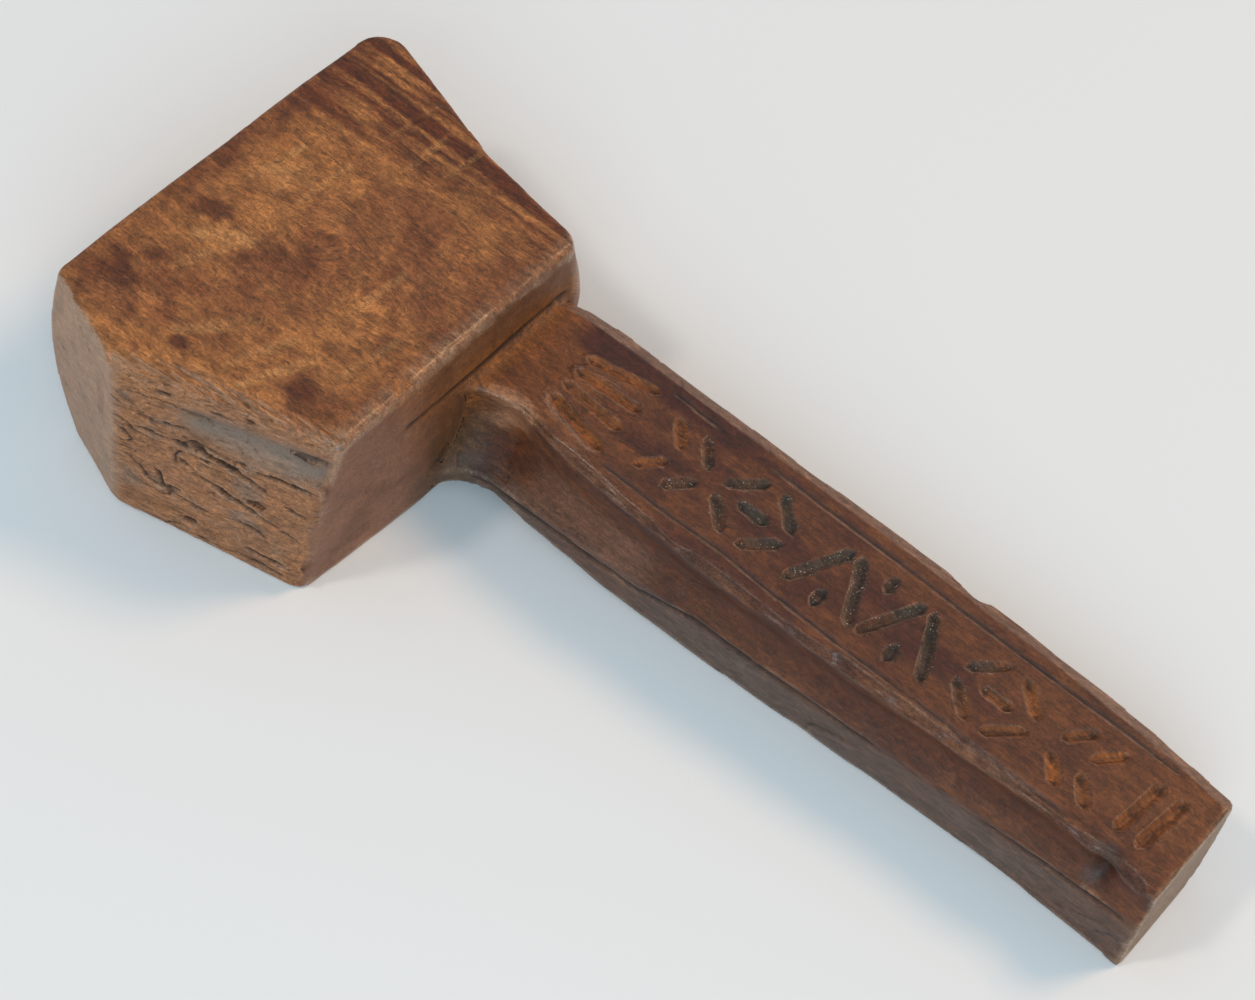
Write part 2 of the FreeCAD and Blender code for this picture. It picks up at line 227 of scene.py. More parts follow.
def relax(mesh, points, rounds):
    """Evens the skin out along its edges, without moving it as a whole."""
    pairs = np.empty(len(mesh.edges) * 2, np.int32)
    mesh.edges.foreach_get("vertices", pairs)
    pairs = pairs.reshape(-1, 2)
    count = np.bincount(pairs.ravel(), minlength=len(points))[:, None]
    for turn in range(rounds * 2):
        total = np.zeros_like(points)
        for axis in range(3):
            total[:, axis] += np.bincount(pairs[:, 0], points[pairs[:, 1], axis], len(points))
            total[:, axis] += np.bincount(pairs[:, 1], points[pairs[:, 0], axis], len(points))
        share = 0.5 if turn % 2 == 0 else -0.52
        points = points + (total / count - points) * share
    return points


def mean_of_neighbours(mesh, values, rounds):
    pairs = np.empty(len(mesh.edges) * 2, np.int32)
    mesh.edges.foreach_get("vertices", pairs)
    pairs = pairs.reshape(-1, 2)
    count = np.bincount(pairs.ravel(), minlength=len(values))
    for turn in range(rounds):
        total = np.bincount(pairs[:, 0], values[pairs[:, 1]], len(values))
        total += np.bincount(pairs[:, 1], values[pairs[:, 0]], len(values))
        values = (values + total) / (count + 1)
    return values


def strike_place(points):
    """How far points lie along the striking face's top edge, from the left corner."""
    return (points[:, :2] - LEFT_CORNER) @ STRIKE_RUN


def strike_depth(points):
    """How far points lie inside the plane of the striking face's top edge."""
    return -(points[:, :2] - LEFT_CORNER) @ STRIKE_OUT[:2]


class Areas:
    """Where each area of the mallet is, as shares from 0 to 1 at each point."""

    def __init__(self, points, facing):
        x = points[:, 0]
        self.facing = facing
        self.handle = smooth(x, SHOULDER - 0.2, SHOULDER + 1.0)
        self.head = 1.0 - self.handle
        up = facing[:, 2]
        self.head_top = self.head * smooth(up, 0.55, 0.9)
        outward = facing @ STRIKE_OUT
        self.strike = self.head * smooth(outward, 0.62, 0.9) * smooth(strike_place(points), -1.0, 3.0)
        self.roll = self.head * smooth(outward, 0.12, 0.5) * smooth(up, 0.2, 0.5)
        self.left_facet = self.head * smooth(-facing[:, 1], 0.5, 0.8) * (1.0 - self.strike)
        self.inner = self.head * smooth(facing[:, 0], 0.6, 0.9)
        self.right_end = self.head * smooth(facing[:, 1], 0.5, 0.8)
        self.handle_top = self.handle * smooth(up, 0.75, 0.95)
        self.handle_left = self.handle * smooth(-facing[:, 1], 0.35, 0.7)
        self.butt = smooth(facing[:, 0], 0.6, 0.9) * smooth(x, BUTT - 6, BUTT - 2)


# Carving

def round_arris(points, inside, below, outward, upward, radius):
    """Rounds the arris between two planes to a radius, where inside and below are the depths in them."""
    s = radius - inside
    t = radius - below
    reach = np.hypot(s, t)
    sharp = (s > 0) & (t > 0) & (reach > radius)
    share = np.where(sharp, 1.0 - radius / np.maximum(reach, 1e-6), 0.0)
    return points - (s * share)[:, None] * outward - (t * share)[:, None] * upward


def across(*parts):
    """Places for noise in coordinates of its own: two or three values, each in waves of the noise."""
    parts = list(parts) + [parts[0] * 0.0] * (3 - len(parts))
    return np.stack(parts, axis=1)


def v_groove(distance, half_width, depth):
    """Depth of a V-shaped cut with a slightly rounded bottom."""
    share = np.clip(1.0 - distance / half_width, 0.0, 1.0)
    return depth * share * (1.6 - 0.6 * share)


# Cracks and splits in the striking face: along it from its left corner, height, length, rise, half width
# and depth. The first ones are those of the solid.
SOLID_SPLITS = 4
CRACKS = [
    (26.0, 30.0, 19.0, 6.0, 1.2, 2.0),
    (40.5, 32.5, 13.0, -1.0, 0.9, 1.6),
    (29.7, 20.5, 21.0, 5.5, 1.0, 1.8),
    (38.0, 6.5, 13.0, 0.4, 0.9, 1.6),
    (9.0, 30.5, 7.5, -0.4, 0.9, 1.3),
    (16.5, 31.0, 4.5, 0.4, 0.9, 1.3),
    (7.5, 34.0, 5.0, 0.3, 0.7, 0.9),
    (14.0, 35.2, 6.5, -0.5, 0.7, 0.8),
    (11.2, 16.2, 2.4, 6.5, 0.7, 1.0),
    (17.5, 24.5, 7.0, 1.5, 0.8, 0.9),
    (20.0, 13.0, 8.0, 1.0, 0.7, 0.8),
    (18.6, 5.5, 4.0, 0.0, 0.9, 1.2),
    (33.0, 13.0, 8.0, 1.6, 0.7, 0.7),
    (42.0, 17.0, 6.0, 1.4, 0.7, 0.7),
    (43.0, 25.0, 7.0, 1.0, 0.7, 0.7),
    (36.0, 2.6, 14.0, 0.3, 0.8, 0.9),
    (24.0, 2.0, 13.0, 0.4, 0.7, 0.8),
    (8.0, 41.5, 9.0, 0.4, 0.5, 0.6),
    (11.7, 44.2, 5.0, 0.2, 0.6, 0.8),
    (24.0, 43.8, 8.0, 0.4, 0.5, 0.5),
    (30.5, 45.8, 3.5, 0.6, 0.6, 0.8),
]

# Shallow strokes of a broad tool over the head's top: start and stop in plan, half width, depth
TOOL_STROKES = [
    ((-26.0, -17.5), (-23.8, -3.0), 1.3, 0.35),
    ((-19.5, -17.0), (-20.0, -6.0), 1.1, 0.35),
    ((-14.0, -15.0), (-13.0, 0.0), 1.2, 0.3),
    ((-26.0, -14.0), (-17.0, -9.0), 3.2, 0.4),
    ((-23.0, -36.0), (-14.0, -30.0), 3.4, 0.4),
    ((-20.5, -46.0), (-16.0, -33.0), 2.0, 0.3),
    ((-8.4, -58.0), (2.0, -45.0), 2.2, 0.35),
    ((5.3, -57.8), (10.6, -43.0), 1.7, 0.4),
    ((10.5, -59.5), (17.0, -44.0), 1.8, 0.4),
    ((-12.7, 12.0), (-10.7, 27.0), 1.0, 0.35),
    ((-3.5, 7.0), (-3.7, 23.5), 1.3, 0.4),
    ((3.5, 12.0), (4.4, 22.5), 1.0, 0.35),
    ((14.0, -30.0), (15.5, -14.0), 1.6, 0.25),
    ((24.0, -44.0), (26.0, -28.0), 1.6, 0.25),
]


# The knife-cut ornament: its places and sizes are those of the solid
CUT_WIDTH = 3.0
CUT_FLOOR = 0.8
CUT_DEPTH = 1.0
CUT_GAP = 2.0
BAND_MIDDLE = 1.0
BAND_HALF = 10.0
BAND_START = 48.5
BAND_END = 209.0
FAN_REACH = 50.0
FAN_LENGTH = 18.0
FAN_HALF = 6.0
FAN_SHARES = (-1.0, -0.333, 0.333, 1.0)
CHEVRON_REACHES = (73.0, 80.5)
END_CHEVRON_REACHES = (187.0, 194.5)
CHEVRON_LENGTH = 8.5
LOZENGE_REACHES = (101.0, 165.0)
LOZENGE_HALF = 11.0
CHIP_HALF = 4.5
ZIGZAG_REACH = 114.0
ZIGZAG_STEP = 9.5
ZIGZAG_STROKES = 4
ZIGZAG_CHIP = (0.35, 0.95)
BAR_REACHES = (200.0, 205.5)
BAR_HALF = 8.0
BAR_LEAN = 2.0


def ornament():
    """The cuts of the band on the handle's top facet, each as its two ends in plan."""
    cuts = []

    def cut(start, stop, gap=0.0):
        step = np.subtract(stop, start)
        step = step / np.linalg.norm(step) * gap
        middle = (0.0, BAND_MIDDLE)
        cuts.append((np.add(start, middle) + step, np.add(stop, middle) - step))

    for share in FAN_SHARES:
        cut((FAN_REACH, FAN_HALF * share), (FAN_REACH + FAN_LENGTH, BAND_HALF * share))
    for reaches, length in ((CHEVRON_REACHES, CHEVRON_LENGTH), (END_CHEVRON_REACHES, -CHEVRON_LENGTH)):
        for reach in reaches:
            for side in (-1, 1):
                cut((reach, side * BAND_HALF), (reach + length, 0.0), CUT_GAP)
    for reach in LOZENGE_REACHES:
        for side in (-1, 1):
            for end in (-1, 1):
                cut((reach, side * BAND_HALF), (reach + end * LOZENGE_HALF, 0.0), CUT_GAP)
        cut((reach - CHIP_HALF, 0.0), (reach + CHIP_HALF, 0.0))
    chip_start, chip_end = ZIGZAG_CHIP
    for i in range(ZIGZAG_STROKES):
        reach = ZIGZAG_REACH + i * ZIGZAG_STEP
        side = (-1) ** i
        cut((reach, -side * BAND_HALF), (reach + ZIGZAG_STEP, side * BAND_HALF), CUT_GAP)
        if i > 0:
            cut((reach, side * BAND_HALF * chip_start), (reach, side * BAND_HALF * chip_end))
    for reach in BAR_REACHES:
        cut((reach, -BAR_HALF), (reach + BAR_LEAN, BAR_HALF))
    return cuts


ORNAMENT = ornament()


def crack_ends(crack):
    """The two ends of a crack, as places along the striking face and heights."""
    middle, level, length, rise = crack[:4]
    half = np.array([length / 2.0, -rise / 2.0])
    centre = np.array([middle, level])
    return centre - half, centre + half


def ornament_depth(plan, wobble):
    """Depth of the ornament's cuts at each point in plan: sloping walls, a narrow floor, pointed ends.
    It is negative outside them."""
    slope = (CUT_WIDTH - CUT_FLOOR) / 2.0 / CUT_DEPTH
    depth = np.full(len(plan), -9.0)
    for start, stop in ORNAMENT:
        distance, along = segment_distance(plan, start, stop)
        length = np.linalg.norm(stop - start)
        to_end = np.minimum(along, 1.0 - along) * length
        half = CUT_WIDTH / 2.0 * np.clip(to_end / (0.6 * CUT_WIDTH), 0.0, 1.0)
        depth = np.maximum(depth, (half - distance + wobble) / slope)
    return np.minimum(depth, CUT_DEPTH)


def level_band(points, depth):
    """Fills the solid's cuts under the band, so that they can be cut again with a finer mesh."""
    x, y, z = points.T
    band = (x > BAND_START) & (x < BAND_END) & (np.abs(y - BAND_MIDDLE) < BAND_HALF + 2.2) & (z > TOP / 2.0)
    clear = band & (depth < -0.7)
    reach = (x - 130.0) / 85.0
    out = y / 15.0
    terms = np.stack([reach**i * out**j for i in range(5) for j in range(3)], axis=1)
    fit = np.linalg.lstsq(terms[clear], z[clear], rcond=None)[0]
    share = band * smooth(depth, -0.8, -0.5)
    points = points.copy()
    points[:, 2] = z * (1.0 - share) + (terms @ fit) * share
    return points


def level_splits(points, facing):
    """Fills the solid's splits in the striking face in the same way."""
    areas = Areas(points, facing)
    side = np.stack([strike_place(points), points[:, 2]], axis=1)
    depth = strike_depth(points)
    near = np.min([segment_distance(side, *crack_ends(crack))[0] for crack in CRACKS[:SOLID_SPLITS]], axis=0)
    face = (side[:, 0] > 12.0) & (side[:, 0] < 49.0) & (depth < 6.0) & (points[:, 0] < SEAM)
    clear = face & (near > 2.6) & (areas.strike > 0.9) & (side[:, 1] < 34.0)
    run, rise = side.T / 30.0
    terms = np.stack([run**i * rise**j for i in range(3) for j in range(4)], axis=1)
    fit = np.linalg.lstsq(terms[clear], depth[clear], rcond=None)[0]
    share = face * (1.0 - smooth(near, 1.8, 2.6)) * (depth > terms @ fit)
    return points + ((depth - terms @ fit) * share)[:, None] * STRIKE_OUT


def cut_depth(plan, cuts, wobble):
    """The deepest of the cuts at each point; each is a little deeper and wider in its middle."""
    depth = np.zeros(len(plan))
    for start, stop, half_width, deepest in cuts:
        distance, along = segment_distance(plan, start, stop)
        distance = distance + wobble * 0.25
        taper = 0.75 + 0.25 * np.sin(np.pi * np.clip(along, 0.02, 0.98))
        depth = np.maximum(depth, v_groove(distance, half_width * taper, deepest * taper))
    return depth


# Rounds of averaging that find the handle's left arris, spread that over its surroundings, and wear it round
ARRIS_FIND_ROUNDS = 16
ARRIS_SPREAD_ROUNDS = 24
ARRIS_WEAR_ROUNDS = 130
# The smooth band across the striking face: its height at the left corner, and its rise along the face
SMOOTH_BAND_HEIGHT = 38.5
SMOOTH_BAND_RISE = 0.02
# The ridge along the handle's left side, as X and height, and the height of the scribed line over the neck
RIDGE_LINE = ([46, 88, 103, 173, 215], [7.5, 9.5, 13.5, 14.0, 17.0])
SCRIBE_HEIGHT = 34.6
# Points that start lower than this lie on the table and aren't carved below it
REST_HEIGHT = 0.4


def wear_left_arris(mesh, points):
    """Wears the handle's left arris round. Returns the points and how far each was worn, from 0 to 1."""
    x, y, z = points.T
    means = [mean_of_neighbours(mesh, points[:, axis], ARRIS_WEAR_ROUNDS) for axis in range(3)]
    rounded = np.stack(means, axis=1)
    sharp = smooth(bulge(mesh, ARRIS_FIND_ROUNDS), 0.02, 0.12)
    sharp = sharp * smooth(x, 42.0, 50.0) * smooth(z, 17.0, 21.0)
    sharp = sharp * (1.0 - smooth(x, BUTT - 4.0, BUTT - 1.5)) * smooth(-y, 6.0, 8.0)
    sharp = np.clip(1.6 * mean_of_neighbours(mesh, sharp, ARRIS_SPREAD_ROUNDS), 0.0, 1.0)
    return points + (rounded - points) * sharp[:, None], sharp


def polish(start, sharp):
    """Where hands have polished the wood: on the handle's left arris and on the rim over the neck. These
    places also get a painted highlight in pale tan.
    """
    x, z = start[:, 0], start[:, 2]
    arris = smooth(sharp, 0.05, 0.5) * (0.7 + 0.5 * noise(start, (9.0, 4.0, 4.0), 13))
    rim = smooth(x, SHOULDER - 5.0, SHOULDER - 2.5) * smooth(z, TOP - 4.0, TOP - 2.0)
    rim = rim * smooth(SEAM - x, 0.0, 0.2) * smooth(noise(start, (9.0, 6.0, 9.0), 14), -0.7, 0.2)
    return np.clip(np.maximum(arris, rim), 0, 1)


def wear_head_rims(points, on_head):
    """Rolls the head's arris over above the striking face, and rounds the one above the inner face."""
    x = points[:, 0]
    roll = on_head * smooth(x, -34, -8) * (5.6 + 2.4 * noise(points, 13.0, 11))
    roll = roll + on_head * 1.5
    radius = on_head * (2.7 + 0.6 * noise(points, 11.0, 12)) + 1e-3
    chosen = (on_head > 0)[:, None]
    moved = round_arris(points, strike_depth(points), TOP - points[:, 2], STRIKE_OUT, UP, roll)
    points = np.where(chosen, moved, points)
    moved = round_arris(points, SHOULDER - points[:, 0], TOP - points[:, 2], ALONG_HANDLE, UP, radius)
    return np.where(chosen, moved, points)


def hewn_relief(start, areas):
    """Unevenness and knife facets over the whole mallet."""
    push = 0.3 * noise(start, 31.0, 1) + 0.12 * noise(start, 12.0, 2)
    push += facets(start, (17.0, 9.0, 9.0), 21, 0.22) * areas.handle * (1.0 - areas.handle_top)
    push += facets(start, (24.0, 15.0, 15.0), 31, 0.16) * areas.handle_top
    push += facets(start, (9.0, 22.0, 12.0), 41, 0.16) * areas.head * (1.0 - areas.head_top)
    return push + facets(start, (11.0, 26.0, 60.0), 51, 0.14) * areas.head_top


def top_relief(start, areas, wobble, marks):
    """Tool strokes, standing grain and chatter over the head's top."""
    x, y = start[:, 0], start[:, 1]
    strokes = cut_depth(start[:, :2], TOOL_STROKES, wobble) * areas.head_top
    marks["stroke"] = np.clip(strokes / 0.3, 0, 1)
    fibre = layered(start, (9.0, 0.9, 0.9), 62, 2)
    chatter = noise(across((x + 0.5 * y) / 3.2, y / 16.0), 1.0, 68)
    return (0.09 * fibre + 0.10 * chatter) * areas.head_top - strokes


def strike_relief(start, areas, facing, marks):
    """The torn striking face: ledges, fibres, a smooth band, and splits along the grain."""
    x, y, height = start.T
    along = strike_place(start)
    above_band = height - SMOOTH_BAND_HEIGHT - SMOOTH_BAND_RISE * along
    torn = areas.strike * smooth(44.0 - height + 2.0 * noise(start, 6.0, 71), 0.0, 5.0)
    torn = torn * (1.0 - np.exp(-((above_band / 5.0) ** 2)) * smooth(along, 8, 14))
    shreds = layered(across(x / 6.0, y / 1.1, height / 1.1), 1.0, 76, 3)
    push = areas.roll * smooth(x, -12.0, -2.0) * 0.4 * shreds
    steps = noise(across(along / 18.0, height / 3.4), 1.0, 72) * 2.4
    push += torn * 0.3 * (np.floor(steps) + smooth(steps - np.floor(steps), 0.35, 0.65))
    ragged = smooth(noise(start, (14.0, 14.0, 8.0), 77), -0.3, 0.5)
    push += torn * ragged * 0.28 * layered(across(along / 6.0, height / 1.1), 1.0, 73, 2)
    band = np.exp(-((above_band / 4.0) ** 2)) * smooth(along, 12, 20) * areas.strike
    marks["band"] = band
    push -= 1.1 * band

    split = np.zeros(len(start))
    side = np.stack([along, height], axis=1)
    jagged = 0.35 * noise(start, 1.6, 74)
    for crack in CRACKS:
        half_width, depth = crack[4:]
        distance, share = segment_distance(side, *crack_ends(crack))
        taper = np.sin(np.pi * np.clip(share, 0.06, 0.94))
        groove = v_groove(distance + jagged, half_width * (0.5 + 0.5 * taper), depth * taper)
        split = np.maximum(split, groove)
    around_corner = areas.head * smooth(-facing[:, 1], 0.3, 0.6) * smooth(along, 0.0, 4.0)
    split = split * np.maximum(areas.strike, around_corner)
    vein = noise(across(along / 10.0, height / 2.1), 1.0, 78)
    cluster = smooth(noise(start, (12.0, 12.0, 7.0), 79) + 0.4 - 0.02 * along, 0.0, 0.4)
    fissure = torn * cluster * np.clip(1.0 - np.abs(vein) / 0.13, 0.0, 1.0)
    marks["split"] = np.clip(np.maximum(split, 0.9 * fissure), 0, 1)
    return push - split - 0.7 * fissure


def handle_side_relief(start, areas, marks):
    """The handle's hollow left side, with a split along its ridge, and a nick in the arris near the butt."""
    x, y, z = start.T
    hollow = areas.handle_left * smooth(x, 74, 92) * (1.0 - smooth(x, 203, 212))
    trough_height = 21.0 + 0.015 * (x - 90)
    hollow = hollow * np.exp(-((z - trough_height) / 3.6) ** 2)
    line = np.abs(z - np.interp(x, *RIDGE_LINE) - 0.6 * noise(start, 14.0, 81))
    broken = smooth(noise(start, (13.0, 40.0, 40.0), 82), -0.35, 0.1)
    side_split = areas.handle_left * v_groove(line, 0.9, 0.8) * broken
    nick = np.exp(-(((x - 202.5) / 2.2) ** 2 + ((y + 12.5) / 3.5) ** 2))
    nick = nick * smooth(z, 17.0, 21.0) * areas.handle
    marks["hollow"] = hollow
    marks["side_split"] = np.clip(side_split / 0.6, 0, 1)
    marks["nick"] = nick
    return -1.3 * hollow - side_split - 1.7 * nick


def band_relief(start, areas, facing, wobble, marks):
    """The carved band on the handle's top: its cuts, raised fibres along them, a broken line on each side."""
    x, y, z = start.T
    in_band = areas.handle * smooth(facing[:, 2], 0.5, 0.7) * smooth(z, 20.0, 24.0)
    carved = ornament_depth(start[:, :2], 0.16 * wobble) * in_band
    marks["carved"] = smooth(carved, -0.05, 0.35)
    marks["rim"] = smooth(carved, -0.55, -0.1) * (1.0 - marks["carved"]) * in_band
    border = np.abs(np.abs(y - BAND_MIDDLE + 0.5 * noise(start, 17.0, 66)) - BAND_HALF - 2.0)
    border = v_groove(border, 0.7, 0.4) * in_band * smooth(x, 68.0, 72.0) * (1.0 - smooth(x, 200.0, 206.0))
    border = border * smooth(noise(start, (15.0, 9.0, 9.0), 67), -0.5, 0.0)
    marks["border"] = np.clip(border / 0.3, 0, 1)
    cuts = np.maximum(carved, 0.0) * (1.05 + 0.15 * noise(start, 4.0, 64))
    return 0.1 * marks["rim"] * smooth(noise(start, 3.0, 65), 0.0, 0.6) - cuts - border


def neck_relief(start, areas, on_head, marks):
    """The scribed line over the neck, and the swell of the head's near right edge beside it."""
    x, y, z = start.T
    scribe = np.abs(z - SCRIBE_HEIGHT - 0.25 * noise(start, 9.0, 91))
    scribe = areas.inner * v_groove(scribe, 0.9, 0.55) * smooth(y, -37, -33) * (1.0 - smooth(y, 14, 18))
    marks["scribe"] = np.clip(scribe / 0.4, 0, 1)
    swell = np.exp(-(((x - 35.0) / 4.0) ** 2 + ((y - 20.5) / 3.2) ** 2 + ((z - 29.0) / 11.0) ** 2))
    return 1.6 * swell * on_head - scribe


def carve(mesh):
    """Moves the skin's points and returns what the finish needs to know about each of them."""
    points = relax(mesh, positions(mesh), 2)
    points = level_band(points, ornament_depth(points[:, :2], 0.0))
    points = level_splits(points, normals(mesh))
    set_positions(mesh, points)
    start, sharp = wear_left_arris(mesh, points)
    marks = {"start": start, "polish": polish(start, sharp)}
    on_head = (start[:, 0] < SEAM).astype(float)
    points = wear_head_rims(start, on_head)
    set_positions(mesh, points)

    facing = normals(mesh)
    areas = Areas(points, facing)
    wobble = layered(start, 3.0, 61, 2)
    push = hewn_relief(start, areas)
    push += top_relief(start, areas, wobble, marks)
    push += strike_relief(start, areas, facing, marks)
    push += handle_side_relief(start, areas, marks)
    push += band_relief(start, areas, facing, wobble, marks)
    push += neck_relief(start, areas, on_head, marks)
    # Saw marks over the end grain of the butt
    y, z = start[:, 1], start[:, 2]
    push += areas.butt * 0.12 * noise(across(z * 0.8 + y * 0.3, y * 0.06), 1.0, 95)

    # The rest faces stay flat, and the skin stays inside the solids' box
    grounded = smooth(z, 0.2, 2.5)
    points = points + facing * (push * (0.25 + 0.75 * grounded))[:, None]
    points[:, 2] = np.where(z < REST_HEIGHT, np.maximum(points[:, 2], z), points[:, 2])
    low, high = (np.array(corner) / MM for corner in cad_box)
    set_positions(mesh, np.clip(points, low, high))
    marks["areas"] = Areas(positions(mesh), normals(mesh))
    return marks


def bulge(mesh, rounds):
    """How much each point stands out from (positive) or lies in (negative) its surroundings, in mm."""
    points = positions(mesh)
    facing = normals(mesh)
    mean = np.stack([mean_of_neighbours(mesh, points[:, axis], rounds) for axis in range(3)], axis=1)
    return ((points - mean) * facing).sum(axis=1)


# Colour

# What the studio light and the wood's sheen add to its own colour
LIGHT_LEVEL = 0.9
SHEEN = 0.019


def shade(red, green, blue):
    """The wood's own colour that reads so, from 0 to 255, in the finished picture."""
    screen = np.array([red, green, blue]) / 255.0
    light = np.where(screen > 0.04045, ((screen + 0.055) / 1.055) ** 2.4, screen / 12.92)
    return np.maximum((light - SHEEN) / LIGHT_LEVEL, 0.004)


HEAD_BROWN = shade(132, 84, 56)
HEAD_ORANGE = shade(164, 108, 66)
HEAD_DARK = shade(92, 54, 38)
HEAD_TAN = shade(182, 130, 84)
TORN_PINK = shade(158, 110, 80)
TORN_DARK = shade(84, 56, 42)
BLUE_GREY = shade(124, 112, 102)
FACET_PINK = shade(168, 134, 112)
INNER_BROWN = shade(130, 92, 74)
CREVICE_ORANGE = shade(140, 86, 46)
CORNER_OLIVE = shade(98, 76, 52)
HANDLE_RED = shade(98, 62, 46)
HANDLE_DARK = shade(70, 45, 36)
HANDLE_ORANGE = shade(126, 78, 50)
HANDLE_GREY = shade(100, 80, 70)
STRIP_TAN = shade(134, 102, 84)
WOOD_BLACK = shade(44, 30, 24)
CUT_ORANGE = shade(142, 86, 50)
GRIME = shade(74, 66, 58)
BUTT_TAN = shade(134, 106, 82)
NECK_TAN = shade(150, 106, 80)
BEVEL_PINK = shade(112, 80, 66)
HOLLOW_BROWN_AND_SHADE = shade(84, 52, 38)
RIM_TAN = shade(168, 134, 108)


def blend(base, colour, share):
    share = np.clip(share, 0.0, 1.0)[:, None]
    return base * (1.0 - share) + np.asarray(colour) * share


def spot(start, x, y, reach_x, reach_y):
    """A soft patch around a point in plan, from 0 to 1."""
    away = ((start[:, 0] - x) / reach_x) ** 2 + ((start[:, 1] - y) / reach_y) ** 2
    return np.exp(-away)


# Dark stains on the head's top: X, Y, reach along X and along Y, strength
STAINS = [
    (-25.0, -52.0, 11.0, 9.0, 1.2),
    (-24.5, -30.0, 6.0, 4.5, 1.3),
    (20.5, -51.5, 5.0, 3.6, 1.2),
    (-5.5, -59.5, 2.6, 2.2, 1.4),
    (11.0, -23.0, 7.0, 4.0, 0.8),
    (-2.5, -18.0, 6.0, 3.5, 0.8),
    (28.0, 12.0, 6.0, 8.0, 0.6),
]


def paint_head(start, areas, marks):
    """Orange brown on top with dark stains, greyer and torn on the striking face, smooth elsewhere."""
    x, y, z = start.T
    colour = np.tile(HEAD_BROWN, (len(start), 1))
    wide = layered(start, (22.0, 17.0, 17.0), 101, 3)
    colour = blend(colour, HEAD_ORANGE, smooth(wide, -0.35, 0.45) * 0.75)
    mottle = layered(start, (6.0, 4.0, 4.0), 106, 3)
    colour = blend(colour, HEAD_DARK, smooth(mottle, 0.1, 1.0) * 0.4)
    colour = blend(colour, HEAD_ORANGE, smooth(-mottle, 0.05, 0.8) * 0.4)
    smear = layered(across((x + 0.4 * y) / 4.0, (y - 0.4 * x) / 13.0, z / 9.0), 1.0, 108, 3)
    colour = blend(colour, HEAD_ORANGE, smooth(smear, 0.1, 0.8) * 0.5)
    colour = blend(colour, HEAD_DARK, smooth(-smear, 0.2, 1.0) * 0.5)
    stain = sum(strength * spot(start, *place) for *place, strength in STAINS)
    stain = stain * (0.65 + 0.7 * layered(start, (5.0, 3.0, 4.0), 111, 4))
    colour = blend(colour, HEAD_DARK * 0.8, smooth(stain, 0.2, 1.0) * 0.85 * areas.head_top)
    right = smooth(y - 0.12 * x + 4.0 * noise(start, 12.0, 117), 0.0, 18.0)
    streak = smooth(layered(start, (26.0, 1.7, 6.0), 121, 3), -0.9, 0.2)
    colour = blend(colour, HEAD_DARK, areas.head_top * right * streak)
    near_rim = smooth(x + 2.0 * noise(start, 9.0, 122), 22.0, 34.0)
    colour = blend(colour, HEAD_DARK, areas.head_top * near_rim * 0.35)
    far_rim = 1.0 - smooth(x + 2.0 * noise(start, 9.0, 123), -34.0, -24.0)
    colour = blend(colour, HEAD_DARK, areas.head_top * far_rim * 0.4)
    colour = blend(colour, HEAD_TAN, marks["stroke"] * (0.45 + 0.3 * mottle - 0.2 * smooth(y, 0.0, 8.0)))

    lines = layered(across(x / 8.0, y / 8.0, z / 0.8), 1.0, 141, 3)
    torn = colour * 0.0 + TORN_PINK
    torn = blend(torn, HEAD_ORANGE, smooth(lines, 0.1, 1.0) * 0.45)
    torn = blend(torn, TORN_DARK, smooth(-lines, 0.3, 1.1) * 0.5)
    torn = blend(torn, BLUE_GREY, smooth(layered(start, (9.0, 9.0, 5.0), 146, 2), 0.2, 0.8) * 0.5)
    colour = blend(colour, torn, areas.strike * 0.95)
    rolled = areas.roll * (1.0 - areas.strike) * smooth(x, -12.0, -2.0)
    shreds = layered(across(x / 7.0, y / 0.9, z / 0.9), 1.0, 144, 3)
    colour = blend(colour, TORN_PINK, rolled * 0.6)
    colour = blend(colour, TORN_DARK, rolled * smooth(shreds, 0.15, 0.8) * 0.8)
    colour = blend(colour, BLUE_GREY, marks["band"] * 0.85)
    streaks = layered(across(x / 2.4, y / 6.0, z / 9.0), 1.0, 148, 3)
    facet = colour * 0.0 + FACET_PINK
    facet = blend(facet, TORN_DARK, smooth(streaks, 0.3, 1.2) * 0.3)
    facet = blend(facet, BLUE_GREY, smooth(-streaks, 0.3, 1.1) * 0.35)
    colour = blend(colour, facet, areas.left_facet * 0.9)
    colour = blend(colour, TORN_PINK * 0.85, areas.right_end * 0.6)
    inner = colour * 0.0 + INNER_BROWN
    inner = blend(inner, TORN_DARK, smooth(layered(start, (6.0, 12.0, 8.0), 151, 3), -0.1, 0.9) * 0.6)
    inner = blend(inner, TORN_DARK * 0.9, smooth(y, -36.0, -22.0) * 0.75)
    colour = blend(colour, inner, areas.inner * 0.85)
    neck_corner = areas.inner * smooth(y, -34.0, -24.0) * (1.0 - smooth(z, 26.0, 34.0))
    colour = blend(colour, CORNER_OLIVE, neck_corner * (0.25 + 0.4 * mottle))
    above_neck = areas.inner * smooth(z, 30.5, 33.0) * (1.0 - smooth(z, 36.0, 39.0)) * smooth(y, -36.0, -28.0)
    return blend(colour, CREVICE_ORANGE, above_neck * (0.5 + 0.4 * mottle))


